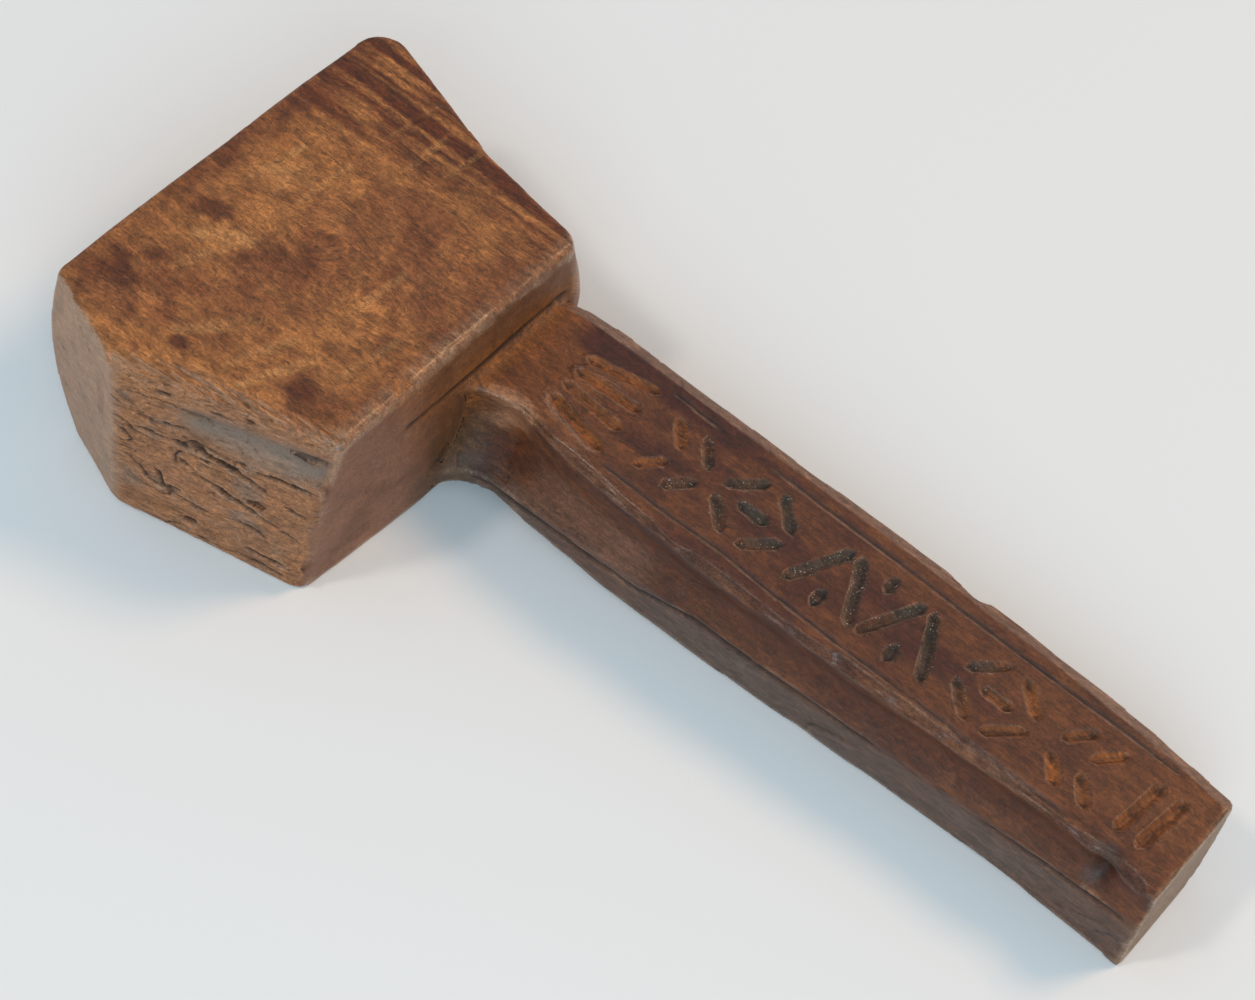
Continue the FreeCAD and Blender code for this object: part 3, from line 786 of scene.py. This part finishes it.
def paint_handle(start, areas, marks):
    """Dark and handled, with orange wood in the neck, a pale right strip, a grey lower side, and a left-side
    hollow whose darkness is partly painted shade.
    """
    x, y, z = start.T
    colour = np.tile(HANDLE_RED, (len(start), 1))
    wide = layered(start, (26.0, 9.0, 9.0), 161, 3)
    colour = blend(colour, HANDLE_DARK, smooth(wide, -0.3, 0.8) * 0.75)
    mottle = layered(start, (8.0, 2.6, 2.6), 166, 3)
    colour = blend(colour, HANDLE_DARK, smooth(mottle, 0.1, 1.0) * 0.5)
    colour = blend(colour, HANDLE_ORANGE, smooth(-mottle, 0.15, 1.1) * 0.35)
    smooth_dark = smooth(x, 42.0, 48.0) * (1.0 - smooth(x, 84.0, 104.0))
    smooth_dark = smooth_dark * smooth(y + 1.2 * noise(start, 5.0, 171), 8.6, 10.4)
    colour = blend(colour, HANDLE_DARK, smooth_dark * 0.85 * areas.handle_top)
    neck = (1.0 - smooth(x + 4.0 * noise(start, (9.0, 4.0, 4.0), 175), 50.0, 76.0)) * (1.0 - smooth_dark)
    colour = blend(colour, HANDLE_ORANGE, neck * areas.handle_top * (0.4 + 0.5 * mottle))
    tan = spot(start, 46.0, -15.0, 7.0, 5.5) * smooth(z, 15.0, 22.0)
    colour = blend(colour, NECK_TAN, smooth(tan + 0.2 * mottle, 0.25, 0.6) * 0.85)
    end = smooth(x + 5.0 * wide, 176.0, 196.0) * areas.handle_top
    colour = blend(colour, HANDLE_ORANGE, end * (0.2 + 0.3 * mottle))
    side = areas.handle_left
    # The hollow along the left side: partly the wood's own dark brown, partly painted shade
    colour = blend(colour, HOLLOW_BROWN_AND_SHADE, marks["hollow"] * 0.9)
    low = side * (1.0 - smooth(z - 0.03 * (x - 90.0), 10.0, 14.5))
    colour = blend(colour, HANDLE_GREY, low * (0.7 + 0.25 * wide))
    oval = side * smooth(x, 52.0, 60.0) * (1.0 - smooth(x, 84.0, 94.0)) * smooth(z, 8.0, 11.0)
    oval = oval * (1.0 - smooth(z, 18.0, 21.0))
    colour = blend(colour, BEVEL_PINK, oval * 0.7)
    strip = smooth(areas.facing[:, 1] + 0.05 * mottle, 0.14, 0.3) * smooth(areas.facing[:, 2], 0.2, 0.45)
    colour = blend(colour, STRIP_TAN, strip * (0.8 + 0.2 * wide))
    tufts = 0.55 + 0.45 * layered(start, (1.2, 0.9, 0.9), 176, 2)
    colour = blend(colour, CREVICE_ORANGE, (1.0 - smooth(x, 37.5, 42.0)) * smooth(z, 18.0, 26.0) * tufts)
    colour = blend(colour, CORNER_OLIVE, (1.0 - smooth(x, 38.0, 44.0)) * (1.0 - smooth(z, 16.0, 26.0)) * 0.4)
    lines = layered(across(y / 5.0, z / 1.1), 1.0, 181, 2)
    butt = blend(colour * 0.0 + BUTT_TAN, TORN_DARK, smooth(lines, 0.1, 1.0) * 0.3)
    return blend(colour, butt, areas.butt * 0.95)


def paint(mesh, marks):
    """The wood's colour at each point: the tone of each area, wear, grime and fresh wood, darker hollows, and
    painted shade and highlights.
    """
    areas = marks["areas"]
    start = marks["start"]
    x = start[:, 0]
    colour = blend(paint_handle(start, areas, marks), paint_head(start, areas, marks), 1.0 - areas.handle)

    # Carved cuts: fresh orange near the neck and the butt, filled with grime between, with painted shade
    # along their rims
    fresh = 1.0 - smooth(x, 76.0, 90.0) + smooth(x, 150.0, 172.0) + 0.45 * noise(start, (9.0, 5.0, 5.0), 191)
    fresh = np.clip(fresh, 0.0, 1.0)
    patchy = 0.7 + 0.3 * layered(start, 5.0, 195, 2)
    colour = blend(colour, CUT_ORANGE, marks["carved"] * fresh * patchy)
    colour = blend(colour, GRIME, marks["carved"] * (1.0 - fresh) * patchy)
    # Painted shade: a dark line along the rims of the cuts
    colour = blend(colour, WOOD_BLACK, marks["rim"] * smooth(noise(start, 2.0, 197), 0.0, 0.7) * 0.4)

    # Wear on the ridges follows the form, and the hollows and creases are darkened
    hollow = -bulge(mesh, 3)
    ridge = bulge(mesh, 12)
    in_band = areas.handle_top * (np.abs(start[:, 1] - BAND_MIDDLE) < BAND_HALF + 1.0)
    worn = smooth(ridge, 0.10, 0.34) * (1.0 - 0.7 * areas.roll) * (0.4 + 0.3 * noise(start, 3.0, 199))
    worn = worn * (1.0 - 0.8 * in_band) * (1.0 - 0.4 * areas.handle)
    colour = blend(colour, RIM_TAN, worn)
    colour = blend(colour, WOOD_BLACK, smooth(hollow, 0.03, 0.14) * 0.6)
    colour = blend(colour, WOOD_BLACK, smooth(-ridge, 0.15, 0.5) * 0.35)
    colour = blend(colour, WOOD_BLACK, marks["split"] * 0.75)
    colour = blend(colour, WOOD_BLACK, marks["side_split"] * 0.7)
    colour = blend(colour, WOOD_BLACK, marks["border"] * 0.45)
    colour = blend(colour, WOOD_BLACK, marks["nick"] * 0.6)
    # Painted highlight: pale tan over the polished arris and rim
    tan = marks["polish"] * (1.0 - 0.6 * areas.handle) * (0.35 + 0.25 * noise(start, (3.0, 1.5, 1.5), 193))
    colour = blend(colour, RIM_TAN * 0.7, tan)
    return blend(colour, WOOD_BLACK, marks["scribe"] * 0.5)


# Knots that the grain bends around: X, Y, reach
KNOTS = [(11.8, -23.8, 8.0), (-2.9, -18.7, 7.0), (-4.9, -59.5, 4.0), (62.0, -2.0, 7.0)]


def grain_lines(start):
    """Where each point lies across the grain, in mm: straight along X, and bent around the knots."""
    warped = start.copy()
    drift = 1.6 * noise(start, (38.0, 22.0, 22.0), 201) + 0.7 * noise(start, (12.0, 7.0, 7.0), 202)
    for knot_x, knot_y, reach in KNOTS:
        near = spot(start, knot_x, knot_y, reach * 1.3, reach)
        drift = drift - (start[:, 1] - knot_y) * 0.7 * near
    warped[:, 1] += drift
    warped[:, 2] += 1.4 * noise(start, (38.0, 22.0, 22.0), 205)
    return warped


def add_values(mesh, name, values):
    layer = mesh.attributes.new(name, "FLOAT", "POINT")
    layer.data.foreach_set("value", values.astype(np.float32))


def add_vectors(mesh, name, values):
    layer = mesh.attributes.new(name, "FLOAT_VECTOR", "POINT")
    layer.data.foreach_set("vector", values.astype(np.float32).ravel())


def add_colours(mesh, name, values):
    layer = mesh.color_attributes.new(name, "FLOAT_COLOR", "POINT")
    filled = np.concatenate([values, np.ones((len(values), 1))], axis=1)
    layer.data.foreach_set("color", filled.astype(np.float32).ravel())


def add_finish_values(mesh, marks):
    """Stores what the wood's nodes read at each point: its tone, how dull and dusty it is, how streaky and
    patchy the wood shows there, and its place in the grain."""
    areas = marks["areas"]
    x, y = marks["start"][:, 0], marks["start"][:, 1]
    add_colours(mesh, "tone", paint(mesh, marks))
    dull = 0.55 + 0.3 * areas.strike - 0.25 * marks["band"] + 0.1 * areas.head_top
    dull = dull - 0.2 * areas.handle + 0.4 * marks["split"] + 0.3 * marks["carved"]
    dull = dull - 0.5 * smooth(bulge(mesh, 10), 0.08, 0.3) - 0.1 * areas.inner
    dull = dull - 0.8 * marks["polish"] - 0.2 * marks["hollow"]
    add_values(mesh, "dull", np.clip(dull, 0.0, 1.0))
    dust = (marks["carved"] + 0.6 * marks["rim"]) * smooth(x, 74.0, 84.0) * (1.0 - smooth(x, 150.0, 172.0))
    add_values(mesh, "dust", np.clip(dust + 0.04, 0.0, 1.0))
    streaky = 1.0 - areas.head_top * (0.65 - 0.45 * smooth(y, 0.0, 20.0)) - 0.8 * areas.left_facet
    streaky = streaky - 0.4 * areas.strike - 0.5 * areas.inner - 0.6 * marks["band"] - 0.6 * areas.handle
    add_values(mesh, "streaky", np.clip(streaky, 0.12, 1.0))
    patchy = 0.6 + 0.25 * areas.head_top - 0.3 * areas.left_facet - 0.2 * areas.inner - 0.5 * marks["band"]
    add_values(mesh, "patchy", np.clip(patchy + 0.1 * areas.handle, 0.1, 1.0))
    add_vectors(mesh, "grain", grain_lines(marks["start"]))


# Finish

class Nodes:
    """Short names for building one material's nodes."""

    def __init__(self, material):
        material.use_nodes = True
        self.tree = material.node_tree
        self.tree.nodes.clear()

    def add(self, kind, values=None, **options):
        node = self.tree.nodes.new(kind)
        for name, value in options.items():
            setattr(node, name, value)
        for name, value in (values or {}).items():
            if isinstance(value, bpy.types.NodeSocket):
                self.tree.links.new(value, node.inputs[name])
            else:
                node.inputs[name].default_value = value
        return node

    def attribute(self, name, output="Fac"):
        return self.add("ShaderNodeAttribute", attribute_name=name).outputs[output]

    def math(self, operation, a, b):
        return self.add("ShaderNodeMath", {0: a, 1: b}, operation=operation).outputs[0]

    def stretched_noise(self, scale, detail, rough=0.6, warp=0.0):
        """Noise on the grain's own coordinates, which are in mm; scale is its waves in each mm."""
        place = self.attribute("grain", "Vector")
        mapping = self.add("ShaderNodeMapping", {"Vector": place, "Scale": scale}).outputs[0]
        values = {"Vector": mapping, "Scale": 1.0, "Detail": detail, "Roughness": rough, "Distortion": warp}
        return self.add("ShaderNodeTexNoise", values).outputs[0]

    def ramp(self, value, low, high, out_low, out_high):
        values = {0: value, 1: low, 2: high, 3: out_low, 4: out_high}
        return self.add("ShaderNodeMapRange", values, clamp=True).outputs[0]

    def swing(self, value, low, high, size, share):
        """A factor around 1 that swings by the size, times the share."""
        return self.math("ADD", self.math("MULTIPLY", self.ramp(value, low, high, -size, size), share), 1.0)

    def tint(self, base, other, share, mode="MIX"):
        node = self.add("ShaderNodeMix", data_type="RGBA", blend_type=mode)
        for socket, value in ((node.inputs[0], share), (node.inputs[6], base), (node.inputs[7], other)):
            if isinstance(value, bpy.types.NodeSocket):
                self.tree.links.new(value, socket)
            else:
                socket.default_value = value
        return node.outputs[2]


def wood(name):
    """Oiled hardwood: the painted tone, with mottling, fibres, pores and hair cracks along the grain."""
    material = bpy.data.materials.new(name)
    nodes = Nodes(material)
    tone = nodes.attribute("tone", "Color")
    dull = nodes.attribute("dull")
    dust = nodes.attribute("dust")
    mottle = nodes.stretched_noise((0.16, 0.5, 0.5), 4.0, 0.65, 0.6)
    fibres = nodes.stretched_noise((0.22, 2.4, 2.4), 3.0, 0.62, 0.35)
    fine = nodes.stretched_noise((0.7, 6.5, 6.5), 2.0, 0.6, 0.2)
    pores = nodes.stretched_noise((0.55, 5.0, 5.0), 1.0, 0.5)
    curls = nodes.stretched_noise((0.8, 1.3, 1.3), 3.0, 0.7, 1.6)
    streaky = nodes.attribute("streaky")
    patchy = nodes.attribute("patchy")
    patches = nodes.stretched_noise((0.4, 0.7, 0.7), 6.0, 0.78, 1.1)

    # Lighter and darker wood
    level = nodes.swing(mottle, 0.38, 0.62, 0.3, patchy)
    level = nodes.math("MULTIPLY", level, nodes.swing(fibres, 0.38, 0.62, 0.3, streaky))
    level = nodes.math("MULTIPLY", level, nodes.swing(fine, 0.38, 0.62, 0.2, streaky))
    level = nodes.math("MULTIPLY", level, nodes.swing(curls, 0.36, 0.64, 0.3, patchy))
    level = nodes.math("MULTIPLY", level, nodes.swing(patches, 0.4, 0.6, 0.34, patchy))
    level = nodes.math("MULTIPLY", level, nodes.ramp(pores, 0.26, 0.38, 0.45, 1.0))
    grey = nodes.add("ShaderNodeCombineColor", {0: level, 1: level, 2: level}).outputs[0]
    colour = nodes.tint(tone, grey, 1.0, "MULTIPLY")
    warm = nodes.ramp(curls, 0.55, 0.75, 0.0, 0.35)
    colour = nodes.tint(colour, nodes.tint(colour, (1.25, 0.98, 0.72, 1.0), 1.0, "MULTIPLY"), warm)

    # Hair cracks, and pale dust
    hair = nodes.stretched_noise((0.09, 1.1, 1.1), 1.0, 0.5, 1.2)
    away = nodes.math("ABSOLUTE", nodes.math("SUBTRACT", hair, 0.5), 0.0)
    where = nodes.ramp(nodes.stretched_noise((0.12, 0.3, 0.3), 1.0), 0.5, 0.62, 0.0, 0.55)
    crack = nodes.math("MULTIPLY", nodes.ramp(away, 0.002, 0.009, 1.0, 0.0), where)
    colour = nodes.tint(colour, (0.03, 0.014, 0.008, 1.0), crack)
    specks = nodes.stretched_noise((2.1, 2.6, 2.6), 1.0)
    pale = nodes.math("MULTIPLY", nodes.ramp(specks, 0.68, 0.74, 0.0, 0.8), dust)
    colour = nodes.tint(colour, (0.50, 0.45, 0.36, 1.0), pale)

    # Relief and sheen
    height = nodes.math("ADD", nodes.math("MULTIPLY", fibres, 0.8), nodes.math("MULTIPLY", fine, 0.4))
    height = nodes.math("ADD", height, nodes.math("MULTIPLY", curls, 0.5))
    height = nodes.math("SUBTRACT", height, nodes.math("MULTIPLY", crack, 0.8))
    strength = nodes.ramp(dull, 0.0, 0.7, 0.2, 0.85)
    bump = nodes.add("ShaderNodeBump", {"Height": height, "Distance": 0.00035, "Strength": strength})
    roughness = nodes.ramp(dull, 0.0, 1.0, 0.26, 0.82)
    roughness = nodes.math("ADD", roughness, nodes.ramp(curls, 0.3, 0.7, -0.08, 0.10))
    values = {"Base Color": colour, "Roughness": roughness, "Normal": bump.outputs[0], "IOR": 1.45}
    shader = nodes.add("ShaderNodeBsdfPrincipled", values)
    nodes.add("ShaderNodeOutputMaterial", {"Surface": shader.outputs[0]})
    return material


# Pieces

def skin_piece(mesh, name, wanted, facing):
    """The wanted faces of the skin as an object, closed where they are cut off, with the skin's normals."""
    sheet = bmesh.new()
    sheet.from_mesh(mesh)
    number = sheet.verts.layers.int.new("number")
    for vert in sheet.verts:
        vert[number] = vert.index
    sheet.faces.ensure_lookup_table()
    dropped = [sheet.faces[i] for i in np.flatnonzero(~wanted)]
    bmesh.ops.delete(sheet, geom=dropped, context="FACES")
    rim = [edge for edge in sheet.edges if edge.is_boundary]
    bmesh.ops.triangle_fill(sheet, use_beauty=True, edges=rim)
    share = bpy.data.meshes.new(name)
    sheet.to_mesh(share)
    sheet.free()
    order = np.empty(len(share.vertices), np.int32)
    share.attributes["number"].data.foreach_get("value", order)
    share.polygons.foreach_set("use_smooth", np.ones(len(share.polygons), bool))
    share.normals_split_custom_set_from_vertices(facing[order].tolist())
    share.attributes.remove(share.attributes["number"])
    piece = bpy.data.objects.new(name, share)
    bpy.context.scene.collection.objects.link(piece)
    return piece


def split_skin(mesh, start):
    """The head's and the handle's share of the skin, each closed where they meet inside the wood."""
    facing = normals(mesh)
    of_handle = start[:, 0] > SEAM
    corners = np.empty(len(mesh.loops), np.int32)
    mesh.loops.foreach_get("vertex_index", corners)
    first_loops = np.empty(len(mesh.polygons), np.int32)
    mesh.polygons.foreach_get("loop_start", first_loops)
    face_of_handle = np.logical_and.reduceat(of_handle[corners], first_loops)
    shares = {"head": ~face_of_handle, "handle": face_of_handle}
    return {node: skin_piece(mesh, f"{node}_skin", wanted, facing) for node, wanted in shares.items()}


skin = billet_mesh()
divide_carved_areas(skin)
marks = carve(skin)
add_finish_values(skin, marks)
finish = {node: wood(f"{node}_wood") for node in ("head", "handle")}
for node, piece in split_skin(skin, marks["start"]).items():
    piece.data.materials.append(finish[node])
    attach(piece, "root")
    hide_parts(node)
    print(piece.name, len(piece.data.vertices), "points", len(piece.data.polygons), "faces")
bpy.data.meshes.remove(skin)


# Floor, light and camera

def plain_surface(name, colour, roughness):
    material = bpy.data.materials.new(name)
    nodes = Nodes(material)
    shader = nodes.add("ShaderNodeBsdfPrincipled", {"Base Color": colour, "Roughness": roughness})
    nodes.add("ShaderNodeOutputMaterial", {"Surface": shader.outputs[0]})
    return material


def make_floor():
    """A plain pale floor that reaches well outside the view."""
    reach = 4.0
    mesh = bpy.data.meshes.new("floor")
    corners = [(-reach, -reach, 0), (reach, -reach, 0), (reach, reach, 0), (-reach, reach, 0)]
    mesh.from_pydata(corners, [], [(0, 1, 2, 3)])
    floor = bpy.data.objects.new("floor", mesh)
    bpy.context.scene.collection.objects.link(floor)
    mesh.materials.append(plain_surface("floor_paper", (0.80, 0.785, 0.78, 1.0), 0.9))


def make_lamp(name, place, aim, size, power, colour):
    lamp = bpy.data.lights.new(name, "AREA")
    lamp.shape = "DISK"
    lamp.size = size
    lamp.energy = power
    lamp.color = colour
    holder = bpy.data.objects.new(name, lamp)
    bpy.context.scene.collection.objects.link(holder)
    holder.location = place
    holder.rotation_euler = (Vector(aim) - Vector(place)).to_track_quat("-Z", "Y").to_euler()


def make_light():
    """A warm window behind the handle, a small one at the left, a bluish one in front and a pale room."""
    centre = Vector((0.07, -0.01, 0.0))
    window = Vector((0.36, 0.54, 0.76)) * 2.8
    make_lamp("window", centre + window, centre, 0.8, 29.0, (1.0, 0.62, 0.33))
    side = Vector((-0.29, -0.45, 0.84)) * 2.4
    make_lamp("side_window", centre + side, centre, 0.3, 9.0, (1.0, 0.90, 0.80))
    fill = Vector((0.46, -0.64, 0.62)) * 2.2
    make_lamp("fill", centre + fill, centre, 1.4, 21.0, (0.66, 0.88, 1.0))
    world = bpy.data.worlds.new("room")
    bpy.context.scene.world = world
    nodes = Nodes(world)
    back = nodes.add("ShaderNodeBackground", {"Color": (0.68, 0.87, 1.0, 1.0), "Strength": 0.55})
    nodes.add("ShaderNodeOutputWorld", {"Surface": back.outputs[0]})


# The camera looks down at the table from the near left. Angles in degrees, lengths in metres.
VIEW_HEADING = 120.2
VIEW_FALL = 54.39
VIEW_ROLL = 11.41
VIEW_DISTANCE = 0.6826
VIEW_CENTRE = Vector((0.0685, 0.0045, 0.0))
VIEW_LENS = 88.7
SENSOR_WIDTH = 36.0


def make_camera():
    heading = math.radians(VIEW_HEADING)
    fall = math.radians(VIEW_FALL)
    ahead = Vector((math.cos(heading) * math.cos(fall), math.sin(heading) * math.cos(fall), -math.sin(fall)))
    level_right = ahead.cross(Vector((0, 0, 1))).normalized()
    roll = Matrix.Rotation(-math.radians(VIEW_ROLL), 3, ahead)
    right = roll @ level_right
    up = right.cross(ahead)
    turn = Matrix((right, up, -ahead)).transposed()
    data = bpy.data.cameras.new("view")
    data.lens = VIEW_LENS
    data.sensor_width = SENSOR_WIDTH
    camera = bpy.data.objects.new("view", data)
    bpy.context.scene.collection.objects.link(camera)
    camera.matrix_world = Matrix.Translation(VIEW_CENTRE - ahead * VIEW_DISTANCE) @ turn.to_4x4()
    bpy.context.scene.camera = camera


make_floor()
make_light()
make_camera()
bpy.context.scene.view_settings.view_transform = "Standard"
